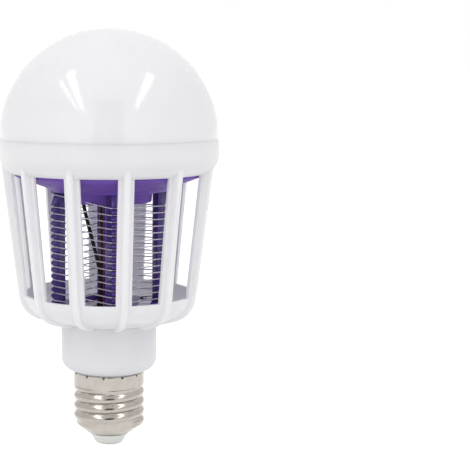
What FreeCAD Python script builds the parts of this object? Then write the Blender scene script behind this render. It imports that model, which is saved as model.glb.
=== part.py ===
import FreeCAD
import Part
import math
import os

from FreeCAD import Vector

# Insect killer light bulb, in millimetres. The origin is the tip of the centre contact,
# +Z runs up the axis to the top of the dome, and -Y points at the middle of a window.

# Edison screw cap, size E27, pressed from thin sheet
thread_crest_r = 13.15
thread_root_r = 12.15
thread_pitch = 3.629
thread_width = 3.04
thread_start_z = 8.75
thread_start_angle = -45.0
thread_run_out = 0.5
cap_sheet = 0.3
cap_mouth_r = 8.0
cap_mouth_z = 4.1
cap_cone_z = 7.2
cap_rim_r = 13.1
cap_rim_low_z = 23.4
cap_rim_high_z = 27.2

# Centre contact and the insulator that it is riveted through
contact_r = 4.9
contact_thickness = 0.7
rivet_r = 2.0
rivet_head_r = 2.8
rivet_head_height = 0.5
insulator_tip_r = 5.3
insulator_step_r = 6.8
insulator_step_z = 3.3
insulator_top_z = 7.0

# Driver housing, the plain neck between the cap and the cage
neck_r = 17.65
neck_wall = 2.0
neck_low_z = 27.6
neck_corner = 5.0
spigot_low_z = 11.5
spigot_wall = 1.9
collar_wall = 1.5
groove_height = 5.0

# Slotted cage: a tapered wall with a bowl below and a round skirt above
window_count = 12
window_low_z = 56.8
window_high_z = 101.1
bar_width = 5.5
panel_inset = 3.6
cage_lean = 7.0
cage_wall = 1.6
ridge_height = 2.1
ridge_width = 2.2
sill_height = 0.3
bowl_radius = 9.0
bowl_slope = 22.7
skirt_r = 40.0
skirt_roll = 7.45
skirt_roll_z = 107.5
skirt_top_z = 113.2
ledge_z = 104.5
floor_top_z = 51.1
floor_thickness = 2.0
floor_hole_r = 6.0
socket_wall = 1.2

# Dome
dome_step = 0.4
dome_wall = 1.6
dome_spigot_wall = 1.6

# Violet lamp cup over the ultraviolet lamps
cup_flange_thickness = 1.5
cup_rim_z = 100.0
cup_cone_r = 23.0
cup_cone_z = 95.6
cup_foot_r = 21.9
cup_foot_z = 94.5
cup_drum_r = 15.9
cup_drum_low_r = 14.5
cup_drum_low_z = 90.3
cup_wall = 1.5
cup_lead_hole_r = 1.5
cup_lead_holes = [(-9.6, -0.9), (-2.9, 0.9)]

# Violet former with four notched posts, turned against the windows
former_turn = 10.7
post_count = 4
fin_tip_r = 21.4
fin_inner_r = 16.1
fin_thickness = 1.9
notch_depth = 1.1
notch_width = 0.85
blade_r = 17.95
blade_thickness = 0.9
blade_width = 5.3
former_plate_thickness = 2.0
former_plate_margin = 0.9
plate_strip = 3.0
lead_window_x = -2.0
lead_window_high_y = 1.8

# Two bare wires wound side by side round the posts
wire_d = 0.6
wire_spacing = 2.443
wire_first_z = 89.8
wire_quarter_turns = 29
wire_anchor_z = 93.1
wire_bend_turn = 10.0
wire_tail_turn = 25.0
notch_rows = 15

# Lamp boards and the plate that carries them
sink_thickness = 1.6
sink_hole_r = 5.5
led_board_gap = 5.4
led_board_thickness = 1.6
led_count = 18
led_ring_inset = 7.0
led_size = 3.5
led_height = 0.9
uv_board_r = 20.0
uv_board_hole_r = 7.0
uv_led_count = 6
uv_ring_r = 14.5
uv_led_r = 2.5
uv_led_height = 5.6
board_screw_count = 3
board_screw_ring_r = 16.0
board_screw_r = 1.2
board_screw_head_r = 2.3
board_screw_head_height = 1.4

# Driver board and its parts
driver_thickness = 1.2
driver_side_gap = 2.05
driver_tongue_gap = 0.9
driver_low_z = 14.0
driver_high_z = 47.0
rail_thickness = 1.2
rail_depth = 3.2
rail_grip = 1.0

# Parts on the driver board; a place is (x, z) on the board and a size is along X, outwards and up
smoothing_r = 4.0
smoothing_gap = 1.0
smoothing_place = (-6.5, 37.0)
storage_width = 10.0
storage_height = 4.5
storage_gap = 3.5
storage_places = [(0.5, 33.0), (0.5, 39.0)]
bridge_size = (8.5, 2.6, 6.5)
bridge_place = (-9.5, 32.0)
chip_size = (5.0, 1.6, 4.0)
chip_place = (-8.0, 41.0)
choke_r = 3.6
choke_gap = 3.75
choke_place = (6.0, 38.0)
diode_r = 1.3
diode_length = 5.5
diode_z = 45.6
diode_side_gap = 2.55
diode_spacing = 0.8
fuse_r = 1.5
fuse_length = 8.0
fuse_low_z = 18.0

# Insulated leads
live_lead_d = 1.0
lamp_lead_d = 1.4
grid_lead_d = 1.2

# Clearances
fit = 0.05
slide_fit = 0.1
seam = 0.3

AXIS = Vector(0, 0, 1)
NODES = {}


def point(radius, height):
    return Vector(radius, 0, height)


def outline(*steps):
    """Closed loop in the XZ plane; a step is a corner, or the middle and the end of an arc."""
    edges = []
    here = steps[0]
    for step in steps[1:] + steps[:1]:
        if isinstance(step[0], tuple):
            middle, end = step
            edges.append(Part.Arc(point(*here), point(*middle), point(*end)).toShape())
        else:
            end = step
            edges.append(Part.makeLine(point(*here), point(*end)))
        here = end
    return Part.Wire(edges)


def turned(*steps):
    """Solid of revolution about the bulb's axis."""
    return Part.Face(outline(*steps)).revolve(Vector(), AXIS, 360)


def rod(radius, low, high, x=0.0, y=0.0):
    return Part.makeCylinder(radius, high - low, Vector(x, y, low))


def block(x_range, y_range, z_range):
    corner = Vector(x_range[0], y_range[0], z_range[0])
    size = (x_range[1] - x_range[0], y_range[1] - y_range[0], z_range[1] - z_range[0])
    return Part.makeBox(size[0], size[1], size[2], corner)


def prism(corners, low, high):
    """Upright prism on a polygon in plan."""
    loop = Part.makePolygon([Vector(x, y, low) for x, y in corners + corners[:1]])
    return Part.Face(loop).extrude(Vector(0, 0, high - low))


def spun(shape, angle):
    copy = shape.copy()
    copy.rotate(Vector(), AXIS, angle)
    return copy


def ring_of(shape, count, start=0.0):
    return [spun(shape, start + 360.0 / count * place) for place in range(count)]


def on_circle(radius, angle):
    """Point in plan, with the angle counted from -Y towards +X."""
    turn = math.radians(angle)
    return (radius * math.sin(turn), -radius * math.cos(turn))


def rounded_path(points, bend):
    """Straight runs joined by tangent arcs, no larger than the runs leave room for."""
    corners = [Vector(*place) for place in points]
    edges = []
    here = corners[0]
    for before, corner, after in zip(corners, corners[1:], corners[2:]):
        back = (before - corner).normalize()
        ahead = (after - corner).normalize()
        turn = math.pi - back.getAngle(ahead)
        room = 0.45 * min(before.distanceToPoint(corner), after.distanceToPoint(corner))
        radius = min(bend, room / math.tan(turn / 2))
        reach = radius * math.tan(turn / 2)
        inward = (back + ahead).normalize()
        middle = corner + inward * (radius / math.cos(turn / 2) - radius)
        start = corner + back * reach
        end = corner + ahead * reach
        edges.append(Part.makeLine(here, start))
        edges.append(Part.Arc(start, middle, end).toShape())
        here = end
    edges.append(Part.makeLine(here, corners[-1]))
    return Part.Wire(edges)


def lead(points, diameter, bend):
    """Round insulated lead along a route."""
    path = rounded_path(points, bend)
    heading = (Vector(*points[1]) - Vector(*points[0])).normalize()
    section = Part.Wire(Part.makeCircle(diameter / 2, Vector(*points[0]), heading))
    return path.makePipeShell([section], True, False)


def node(name, solids):
    NODES[name] = Part.makeCompound(solids) if isinstance(solids, list) else solids


# Cage profile
panel_top_r = skirt_r - panel_inset
lean = math.radians(cage_lean)
slope = math.radians(bowl_slope)
roll_end = 2 * math.atan2(skirt_r - panel_top_r, skirt_roll_z - window_high_z)
panel_anchor_z = skirt_roll_z - skirt_roll * math.sin(roll_end)
panel_anchor_r = skirt_r - skirt_roll * (1 - math.cos(roll_end))


def cage_radius(height, offset=0.0):
    """Radius of the tapered wall's outer face, or of a face that stands out from it."""
    along = panel_anchor_r - (panel_anchor_z - height) * math.tan(lean)
    return along + offset / math.cos(lean)


bowl_top_z = window_low_z - sill_height
bowl_centre_r = cage_radius(bowl_top_z) - bowl_radius * math.cos(lean)
bowl_centre_z = bowl_top_z + bowl_radius * math.sin(lean)


def bowl_point(angle, offset=0.0):
    """Point on the bowl's arc, with the angle counted down from level."""
    radius = bowl_radius + offset
    return (bowl_centre_r + radius * math.cos(angle), bowl_centre_z - radius * math.sin(angle))


def bowl_line_z(radius, offset=0.0):
    """Height of the bowl's straight underside at a radius."""
    foot_r, foot_z = bowl_point(math.pi / 2 - slope, offset)
    return foot_z - (foot_r - radius) * math.tan(slope)


def wall_steps(offset, upper_z):
    """Tapered wall and the arc under it, from the top down."""
    middle = (lean + math.pi / 2 - slope) / 2
    return [
        (cage_radius(upper_z, offset), upper_z),
        bowl_point(lean, offset),
        (bowl_point(middle, offset), bowl_point(math.pi / 2 - slope, offset)),
    ]


neck_high_z = bowl_line_z(neck_r)
floor_low_z = floor_top_z - floor_thickness
skirt_inner_r = skirt_r - cage_wall
socket_r = neck_r - socket_wall
collar_outer_r = socket_r - slide_fit
collar_inner_r = collar_outer_r - collar_wall

# Cage housing
roll_middle = roll_end / 2
roll_arc = (
    (skirt_r - skirt_roll * (1 - math.cos(roll_middle)), skirt_roll_z - skirt_roll * math.sin(roll_middle)),
    (panel_anchor_r, panel_anchor_z),
)
inner_bowl = bowl_radius - cage_wall
inner_stop = math.asin((bowl_centre_z - floor_top_z) / inner_bowl)
inner_middle = (lean + inner_stop) / 2
cage = turned(
    (skirt_r, skirt_top_z),
    (skirt_r, skirt_roll_z),
    roll_arc,
    *wall_steps(0.0, panel_anchor_z)[1:],
    (neck_r, neck_high_z),
    (socket_r, neck_high_z),
    (socket_r, floor_low_z),
    (floor_hole_r, floor_low_z),
    (floor_hole_r, floor_top_z),
    bowl_point(inner_stop, -cage_wall),
    (bowl_point(inner_middle, -cage_wall), bowl_point(lean, -cage_wall)),
    (cage_radius(ledge_z, -cage_wall), ledge_z),
    (skirt_inner_r, ledge_z),
    (skirt_inner_r, skirt_top_z),
)
reach = skirt_r + cage_wall
half_turn = math.pi / window_count
window_side_x = reach * math.sin(half_turn) - bar_width / 2 * math.cos(half_turn)
window_side_y = -reach * math.cos(half_turn) - bar_width / 2 * math.sin(half_turn)
window = prism(
    [
        (0, -bar_width / 2 / math.sin(half_turn)),
        (window_side_x, window_side_y),
        (-window_side_x, window_side_y),
    ],
    window_low_z,
    window_high_z,
)
ridge_root = -cage_wall / 2
ridge_loop = outline(
    *wall_steps(ridge_height, ledge_z),
    (neck_r + slide_fit, bowl_line_z(neck_r, ridge_height)),
    (neck_r + slide_fit, bowl_line_z(neck_r, ridge_root)),
    bowl_point(math.pi / 2 - slope, ridge_root),
    (bowl_point(math.pi / 4, ridge_root), bowl_point(lean, ridge_root)),
    (cage_radius(ledge_z, ridge_root), ledge_z),
)
ridge = Part.Face(ridge_loop).extrude(Vector(0, ridge_width, 0))
ridge.translate(Vector(0, -ridge_width / 2, 0))
cage = cage.cut(Part.makeCompound(ring_of(window, window_count)))
cage = cage.fuse(ring_of(ridge, window_count, 180.0 / window_count))
wire_tail_r = collar_inner_r - grid_lead_d / 2 - slide_fit
plate_high_z = floor_top_z + former_plate_thickness
tail_hole = rod(grid_lead_d / 2 + slide_fit, floor_low_z - 1, plate_high_z + 1, 0, -wire_tail_r)
tail_angles = [former_turn + 90 + wire_tail_turn, former_turn + 270 + wire_tail_turn]
tail_holes = [spun(tail_hole, angle) for angle in tail_angles]
cage = cage.cut(tail_holes)
node("cage_housing", cage)

# Driver housing, with a spigot for the cap and rails for the driver board
spigot_r = thread_root_r - cap_sheet - fit
spigot_shoulder_r = cap_rim_r - cap_sheet - fit
spigot_shoulder_z = cap_rim_low_z + cap_sheet + fit
spigot_bore_r = spigot_r - spigot_wall
neck_inner_r = neck_r - neck_wall
neck_floor_z = neck_low_z + neck_wall
inner_corner = neck_corner - neck_wall
diagonal = math.sqrt(0.5)
driver_housing = turned(
    (spigot_bore_r, spigot_low_z),
    (spigot_r, spigot_low_z),
    (spigot_r, spigot_shoulder_z),
    (spigot_shoulder_r, spigot_shoulder_z),
    (spigot_shoulder_r, neck_low_z),
    (neck_r - neck_corner, neck_low_z),
    (
        (neck_r - neck_corner * (1 - diagonal), neck_low_z + neck_corner * (1 - diagonal)),
        (neck_r, neck_low_z + neck_corner),
    ),
    (neck_r, neck_high_z),
    (collar_outer_r, neck_high_z),
    (collar_outer_r, floor_low_z - slide_fit),
    (collar_inner_r, floor_low_z - slide_fit),
    (collar_inner_r, neck_high_z),
    (neck_inner_r, neck_high_z - neck_wall),
    (neck_inner_r, neck_floor_z + inner_corner),
    (
        (neck_inner_r - inner_corner * (1 - diagonal), neck_floor_z + inner_corner * (1 - diagonal)),
        (neck_inner_r - inner_corner, neck_floor_z),
    ),
    (spigot_bore_r, neck_floor_z),
)
rail_y = driver_thickness / 2 + slide_fit
rail_x = math.sqrt((neck_inner_r + rail_grip) ** 2 - (rail_y + rail_thickness) ** 2)
rails = []
for side in (-1, 1):
    for face in (-1, 1):
        x_range = sorted([side * (neck_inner_r - rail_depth), side * rail_x])
        y_range = sorted([face * rail_y, face * (rail_y + rail_thickness)])
        rails.append(block(x_range, y_range, (neck_floor_z + neck_wall, neck_high_z - neck_wall)))
driver_housing = driver_housing.fuse(rails)
groove_half = live_lead_d / 2 + slide_fit
groove = block(
    (spigot_r - live_lead_d - slide_fit, spigot_r + 1),
    (-groove_half, groove_half),
    (spigot_low_z - 1, spigot_low_z + groove_height),
)
driver_housing = driver_housing.cut(groove)
node("driver_housing", driver_housing)

# Screw cap: a thin sheet shell with its rolled thread, open at both ends
cap_body = turned(
    (0, cap_mouth_z),
    (cap_mouth_r, cap_mouth_z),
    (thread_root_r, cap_cone_z),
    (thread_root_r, cap_rim_low_z),
    (cap_rim_r, cap_rim_low_z),
    (cap_rim_r, cap_rim_high_z),
    (0, cap_rim_high_z),
)
thread_base_r = thread_root_r - cap_sheet
thread_end_z = cap_rim_low_z - thread_run_out
helix = Part.makeHelix(thread_pitch, thread_end_z - thread_start_z, thread_base_r)
crest_low = point(thread_base_r, -thread_width / 2)
crest_high = point(thread_base_r, thread_width / 2)
crest_arc = Part.Arc(crest_low, point(thread_crest_r, 0), crest_high).toShape()
crest = Part.Wire([crest_arc, Part.makeLine(crest_high, crest_low)])
thread = Part.Wire(helix).makePipeShell([crest], True, True)
thread.translate(Vector(0, 0, thread_start_z))
thread = spun(thread, thread_start_angle)
cap_bore = turned(
    (0, cap_mouth_z - 1),
    (cap_mouth_r - cap_sheet, cap_mouth_z - 1),
    (cap_mouth_r - cap_sheet, cap_mouth_z + cap_sheet),
    (thread_root_r - cap_sheet, cap_cone_z + cap_sheet),
    (thread_root_r - cap_sheet, cap_rim_low_z + cap_sheet),
    (cap_rim_r - cap_sheet, cap_rim_low_z + cap_sheet),
    (cap_rim_r - cap_sheet, cap_rim_high_z + 1),
    (0, cap_rim_high_z + 1),
)
node("screw_cap", cap_body.fuse(thread).cut(cap_bore))

# Insulator and centre contact
insulator_side_r = cap_mouth_r - cap_sheet - fit
insulator_cone = (thread_root_r - cap_mouth_r) / (cap_cone_z - cap_mouth_z)
insulator_shoulder_z = cap_mouth_z + cap_sheet + fit
insulator_top_r = insulator_side_r + (insulator_top_z - insulator_shoulder_z) * insulator_cone
node("cap_insulator", turned(
    (rivet_r, contact_thickness),
    (insulator_tip_r, contact_thickness),
    (insulator_step_r, insulator_step_z),
    (insulator_side_r, cap_mouth_z - fit),
    (insulator_side_r, insulator_shoulder_z),
    (insulator_top_r, insulator_top_z),
    (rivet_r, insulator_top_z),
))
node("centre_contact", turned(
    (0, 0),
    (contact_r, 0),
    (contact_r, contact_thickness),
    (rivet_r, contact_thickness),
    (rivet_r, insulator_top_z),
    (rivet_head_r, insulator_top_z),
    (rivet_head_r, insulator_top_z + rivet_head_height),
    (0, insulator_top_z + rivet_head_height),
))

# Violet lamp cup
flange_high_z = ledge_z + cup_flange_thickness
flange_r = skirt_inner_r - slide_fit
cup_collar_r = cage_radius(cup_rim_z, -cage_wall) - slide_fit
cup_tilt = math.atan2(cup_rim_z - cup_cone_z, cup_collar_r - cup_cone_r)
cup_liner_r = cup_collar_r - cup_wall
cup_liner_z = cup_rim_z + cup_wall / math.cos(cup_tilt) - cup_wall * math.tan(cup_tilt)
cup_floor_z = cup_foot_z + cup_wall
lamp_cup = turned(
    (flange_r, ledge_z),
    (flange_r, flange_high_z),
    (cup_liner_r, flange_high_z),
    (cup_liner_r, cup_liner_z),
    (cup_liner_r - (cup_liner_z - cup_floor_z) / math.tan(cup_tilt), cup_floor_z),
    (cup_drum_r - cup_wall, cup_floor_z),
    (cup_drum_low_r - cup_wall, cup_drum_low_z + cup_wall),
    (0, cup_drum_low_z + cup_wall),
    (0, cup_drum_low_z),
    (cup_drum_low_r, cup_drum_low_z),
    (cup_drum_r, cup_foot_z),
    (cup_foot_r, cup_foot_z),
    (cup_cone_r, cup_cone_z),
    (cup_collar_r, cup_rim_z),
    (cup_collar_r, ledge_z),
)
for hole_x, hole_y in cup_lead_holes:
    hole = rod(cup_lead_hole_r, cup_drum_low_z - 1, cup_drum_low_z + cup_wall + 1, hole_x, hole_y)
    lamp_cup = lamp_cup.cut(hole)
node("lamp_cup", lamp_cup)

# Violet former: notched posts of cross section, standing on a square plate
post_high_z = cup_foot_z
notch_root_r = fin_tip_r - notch_depth
tooth_r = (wire_spacing - notch_width) / 2
quarter_drop = wire_spacing / 2


def notch_levels(post):
    """Heights of one post's notches, from the top down."""
    first_z = wire_first_z - (post % 2) * quarter_drop
    levels = [first_z - wire_spacing * row for row in range(notch_rows)]
    if post == post_count - 1:
        levels.insert(0, wire_anchor_z)
    return levels


def notched_fin(levels):
    steps = [(fin_inner_r, plate_high_z), (fin_inner_r, post_high_z), (fin_tip_r, post_high_z)]
    upper_z = post_high_z
    for level in levels:
        top = level + notch_width / 2
        gap = upper_z - top
        if upper_z < post_high_z and gap < wire_spacing:
            root_r = fin_tip_r - tooth_r
            steps.append((root_r, upper_z))
            steps.append(((fin_tip_r, upper_z - gap / 2), (root_r, top)))
        else:
            steps.append((fin_tip_r, top))
        steps.append((notch_root_r, top))
        steps.append((notch_root_r, level - notch_width / 2))
        upper_z = level - notch_width / 2
    if upper_z > plate_high_z + tooth_r:
        steps.append((fin_tip_r - tooth_r, upper_z))
        steps.append((fin_tip_r, upper_z - tooth_r))
    steps.append((fin_tip_r, plate_high_z))
    return steps


def post_shape(post):
    fin = Part.Face(outline(*notched_fin(notch_levels(post)))).extrude(Vector(0, fin_thickness, 0))
    fin.translate(Vector(0, -fin_thickness / 2, 0))
    blade = block(
        (blade_r - blade_thickness / 2, blade_r + blade_thickness / 2),
        (-blade_width / 2, blade_width / 2),
        (plate_high_z, post_high_z),
    )
    return spun(fin.fuse(blade), former_turn - 90 + 360.0 / post_count * post)


plate_corner = fin_tip_r + former_plate_margin
plate_square = prism(
    [on_circle(plate_corner, 90 * corner) for corner in range(4)],
    floor_top_z,
    plate_high_z,
)
plate_square = plate_square.common(rod(fin_tip_r, floor_top_z, plate_high_z))
side_reach = plate_corner - plate_strip / diagonal
lead_window = prism(
    [
        (lead_window_x, lead_window_high_y),
        (lead_window_x, -side_reach - lead_window_x),
        (plate_strip / 2 - side_reach, -plate_strip / 2),
        (plate_strip / 2 - side_reach, lead_window_high_y),
    ],
    floor_top_z - 1,
    plate_high_z + 1,
)
former_plate = spun(plate_square.cut(lead_window), former_turn)
former_plate = former_plate.cut(tail_holes)
posts = [post_shape(post) for post in range(post_count)]
grid_former = former_plate.fuse(posts)
node("grid_former", grid_former)


# Grid wires, wound from post to post
def grid_wire(first_post, anchored):
    """Six-sided wire from notch to notch, ending on the lead that comes up beside its last post."""
    out = notch_root_r + wire_d / 2 + fit
    across = fin_thickness / 2 + wire_d / 4
    centre_r = math.hypot(out, across)
    side = math.degrees(math.atan2(across, out))
    corners = []
    if anchored:
        start = former_turn - 90 - side
        corners.append((*on_circle(centre_r, start), wire_anchor_z))
        corners.append((*on_circle(centre_r, start + 2 * side), wire_anchor_z))
    for step in range(wire_quarter_turns + 1):
        height = wire_first_z - quarter_drop * step
        angle = former_turn + 90 * (first_post + step)
        corners.append((*on_circle(centre_r, angle - side), height))
        corners.append((*on_circle(centre_r, angle + side), height))
    last_angle = former_turn + 90 * (first_post + wire_quarter_turns)
    corners.append((*on_circle(centre_r, last_angle + wire_bend_turn), height))
    corners.append((*on_circle(wire_tail_r, last_angle + wire_tail_turn), plate_high_z + wire_d))
    path = [Vector(*corner) for corner in corners]
    heading = (path[1] - path[0]).normalize()
    sideways = heading.cross(AXIS).normalize() * (wire_d / 2)
    up = sideways.cross(heading)
    turns = [math.radians(60 * corner) for corner in range(7)]
    section = [path[0] + sideways * math.cos(turn) + up * math.sin(turn) for turn in turns]
    return Part.makePolygon(path).makePipeShell([Part.makePolygon(section)], True, False, 1)


node("live_grid_wire", grid_wire(0, True))
node("return_grid_wire", grid_wire(2, False))

# Dome
dome_r = skirt_r - dome_step
spigot_top_z = flange_high_z + sink_thickness
dome_inner_r = dome_r - dome_wall
spigot_outer_r = skirt_inner_r - slide_fit
spigot_inner_r = spigot_outer_r - dome_spigot_wall
shell_low = math.sqrt(dome_inner_r ** 2 - spigot_inner_r ** 2)
node("diffuser_dome", turned(
    (spigot_outer_r, spigot_top_z),
    (spigot_outer_r, skirt_top_z),
    (dome_r, skirt_top_z),
    ((dome_r * diagonal, skirt_top_z + dome_r * diagonal), (0, skirt_top_z + dome_r)),
    (0, skirt_top_z + dome_inner_r),
    (
        (dome_inner_r * diagonal, skirt_top_z + dome_inner_r * diagonal),
        (spigot_inner_r, skirt_top_z + shell_low),
    ),
    (spigot_inner_r, spigot_top_z),
))

# Heat sink plate with the white lamps above it and the ultraviolet lamps below it
sink_low_z = flange_high_z
sink_high_z = sink_low_z + sink_thickness
board_high_z = sink_high_z + led_board_thickness
uv_board_low_z = sink_low_z - led_board_thickness
lead_way = rod(sink_hole_r, uv_board_low_z - 1, board_high_z + 1)
screw_way = rod(board_screw_r + fit, uv_board_low_z - 1, board_high_z + 1, *on_circle(board_screw_ring_r, 0))
ways = [lead_way] + ring_of(screw_way, board_screw_count)
node("heat_sink_plate", rod(skirt_inner_r - slide_fit, sink_low_z, sink_high_z).cut(ways))
led_board_r = skirt_inner_r - led_board_gap
node("led_board", rod(led_board_r, sink_high_z, board_high_z).cut(ways))
uv_board = rod(uv_board_r, uv_board_low_z, sink_low_z).cut(ways)
node("uv_board", uv_board.cut(rod(uv_board_hole_r, uv_board_low_z - 1, sink_low_z + 1)))
led_half = led_size / 2
led_ring_r = led_board_r - led_ring_inset
led_range = (led_ring_r - led_half, led_ring_r + led_half)
white_led = block(led_range, (-led_half, led_half), (board_high_z, board_high_z + led_height))
node("white_leds", ring_of(white_led, led_count))
uv_led_x, uv_led_y = on_circle(uv_ring_r, 90)
uv_tip_z = uv_board_low_z - uv_led_height + uv_led_r
uv_led = rod(uv_led_r, uv_tip_z, uv_board_low_z, uv_led_x, uv_led_y)
uv_led = uv_led.fuse(Part.makeSphere(uv_led_r, Vector(uv_led_x, uv_led_y, uv_tip_z)))
node("uv_leds", ring_of(uv_led, uv_led_count))
screw_x, screw_y = on_circle(board_screw_ring_r, 0)
board_screw = rod(board_screw_r, uv_board_low_z, board_high_z, screw_x, screw_y)
screw_head = rod(board_screw_head_r, board_high_z, board_high_z + board_screw_head_height, screw_x, screw_y)
node("board_screws", ring_of(board_screw.fuse(screw_head), board_screw_count))

# Driver board, which slides down between the rails, with a tongue that reaches into the cap
driver_shoulder_z = neck_floor_z + seam
driver_half = driver_thickness / 2
board_faces = (-driver_half, driver_half)
tongue_half_width = spigot_bore_r - driver_tongue_gap
board_half_width = neck_inner_r - driver_side_gap
tongue_range = (-tongue_half_width, tongue_half_width)
board_range = (-board_half_width, board_half_width)
driver_tongue = block(tongue_range, board_faces, (driver_low_z, driver_shoulder_z))
node("driver_board", driver_tongue.fuse(block(board_range, board_faces, (driver_shoulder_z, driver_high_z))))


def standing(radius, length, place, face):
    """Round part that stands on one face of the driver board."""
    foot = Vector(place[0], face * driver_half, place[1])
    return Part.makeCylinder(radius, length, foot, Vector(0, face, 0))


def lying(radius, length, place, face):
    """Round part that lies along X on one face of the driver board."""
    start = Vector(place[0], face * (driver_half + radius), place[1])
    return Part.makeCylinder(radius, length, start, Vector(1, 0, 0))


def boxed(size, place, face):
    """Square part on one face of the driver board."""
    depth = sorted([face * driver_half, face * (driver_half + size[1])])
    return block((place[0], place[0] + size[0]), depth, (place[1], place[1] + size[2]))


def room(far_x, gap):
    """How far a part may stand off the driver board at a distance from the board's middle."""
    return math.sqrt(neck_inner_r ** 2 - far_x ** 2) - driver_half - gap


smoothing_length = room(smoothing_r - smoothing_place[0], smoothing_gap)
storage_depth = room(storage_places[0][0] + storage_width, storage_gap)
storage_size = (storage_width, storage_depth, storage_height)
choke_length = room(choke_place[0] + choke_r, choke_gap)
diode_right_x = collar_inner_r - diode_side_gap - diode_length
diode_places = [(diode_right_x - diode_spacing - diode_length, diode_z), (diode_right_x, diode_z)]
node("smoothing_capacitor", standing(smoothing_r, smoothing_length, smoothing_place, 1))
node("storage_capacitors", [boxed(storage_size, place, 1) for place in storage_places])
node("bridge_rectifier", boxed(bridge_size, bridge_place, -1))
node("driver_chip", boxed(chip_size, chip_place, -1))
node("choke", standing(choke_r, choke_length, choke_place, -1))
node("boost_diodes", [lying(diode_r, diode_length, place, -1) for place in diode_places])
node("fuse_resistor", rod(fuse_r, fuse_low_z, fuse_low_z + fuse_length, 0, driver_half + fuse_r))

# Leads held inside the bulb
live_y = driver_half + live_lead_d / 2 + fit
rivet_top_z = insulator_top_z + rivet_head_height
node("cap_live_lead", lead(
    [(0, 0, rivet_top_z), (0, 0, rivet_top_z + 2.4), (0, live_y, driver_low_z - 1), (0, live_y, fuse_low_z)],
    live_lead_d, 3.0,
))
neutral_x = spigot_r - live_lead_d / 2
node("cap_neutral_lead", lead(
    [
        (7.0, -live_y, fuse_low_z), (7.0, -live_y, spigot_low_z + 0.5), (7.8, 0, spigot_low_z - 1.2),
        (neutral_x, 0, spigot_low_z - 1.2), (neutral_x, 0, spigot_low_z + 4.5),
    ],
    live_lead_d, 1.5,
))
lamp_y = driver_half + lamp_lead_d / 2 + fit
pad_z = board_high_z + lamp_lead_d / 2 + fit
rise_x = 2.0 - sink_hole_r
black_hole, red_hole = cup_lead_holes
node("black_lamp_lead", lead(
    [
        (-4.7, lamp_y, 43.0), (-4.7, lamp_y, 48.6), (-4.6, -1.0, 52.6), (-3.9, -1.2, 63.0),
        (*black_hole, 89.0), (*black_hole, 95.5), (rise_x, -0.9, 102.5), (rise_x, -0.9, pad_z),
        (rise_x - 4.5, -0.9, pad_z),
    ],
    lamp_lead_d, 6.0,
))
node("red_lamp_lead", lead(
    [
        (-2.0, -lamp_y, 42.0), (-2.0, -lamp_y, 46.5), (-3.0, -1.1, 50.5), (-2.4, -1.0, 63.0),
        (*red_hole, 84.0), (*red_hole, 95.5), (rise_x, 0.9, 102.5), (rise_x, 0.9, pad_z),
        (rise_x - 4.5, 0.9, pad_z),
    ],
    lamp_lead_d, 6.0,
))
tail_top_z = plate_high_z + wire_d / 2
for name, angle, board_x, face in (
    ("live_grid_lead", tail_angles[0], 11.8, 1),
    ("return_grid_lead", tail_angles[1], -11.8, -1),
):
    tail_x, tail_y = on_circle(wire_tail_r, angle)
    lead_y = face * (driver_half + grid_lead_d / 2 + fit)
    node(name, lead(
        [
            (board_x, lead_y, 42.5), (board_x, lead_y, 45.2),
            (tail_x, tail_y, 47.6), (tail_x, tail_y, tail_top_z),
        ],
        grid_lead_d, 2.0,
    ))

os.makedirs("parts", exist_ok=True)
for name, shape in NODES.items():
    shape.exportStep("parts/" + name + ".step")
    print(name, len(shape.Solids), shape.isValid(), round(shape.Volume, 1))
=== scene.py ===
import bmesh
import bpy
import math
from mathutils import Matrix, Vector


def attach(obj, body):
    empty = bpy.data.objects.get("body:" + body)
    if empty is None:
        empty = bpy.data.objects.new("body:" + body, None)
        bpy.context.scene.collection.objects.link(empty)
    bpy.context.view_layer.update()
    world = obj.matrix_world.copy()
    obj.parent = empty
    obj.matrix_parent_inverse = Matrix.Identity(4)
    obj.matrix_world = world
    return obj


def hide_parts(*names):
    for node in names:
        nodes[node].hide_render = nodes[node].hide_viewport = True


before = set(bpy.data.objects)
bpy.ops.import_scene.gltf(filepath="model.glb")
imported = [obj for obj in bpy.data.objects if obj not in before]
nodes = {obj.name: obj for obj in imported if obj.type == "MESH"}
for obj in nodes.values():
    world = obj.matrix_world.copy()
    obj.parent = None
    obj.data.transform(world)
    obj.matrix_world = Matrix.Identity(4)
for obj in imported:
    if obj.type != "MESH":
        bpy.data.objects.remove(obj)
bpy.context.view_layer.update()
scene = bpy.context.scene

# Camera. It looks a little down on the bulb, from just right of a window's middle, and the
# bulb fills the left half of the frame.
photo_width_px = 470
bulb_axis_px = 109
focal_px = 1275
sensor_mm = 36.0
camera_azimuth = math.radians(5.6)
camera_pitch = math.radians(7.3)
camera_distance = 0.468
aim_height = 0.0778
camera = bpy.data.objects.new("camera", bpy.data.cameras.new("camera"))
scene.collection.objects.link(camera)
scene.camera = camera
camera.data.sensor_width = sensor_mm
camera.data.lens = sensor_mm * focal_px / photo_width_px
camera.data.shift_x = (photo_width_px / 2 - bulb_axis_px) / photo_width_px
camera_back = Vector((
    math.sin(camera_azimuth) * math.cos(camera_pitch),
    -math.cos(camera_azimuth) * math.cos(camera_pitch),
    math.sin(camera_pitch),
))
camera.location = Vector((0, 0, aim_height)) + camera_back * camera_distance
camera.rotation_euler = (-camera_back).to_track_quat("-Z", "Y").to_euler()
scene.view_settings.view_transform = "Standard"


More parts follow.
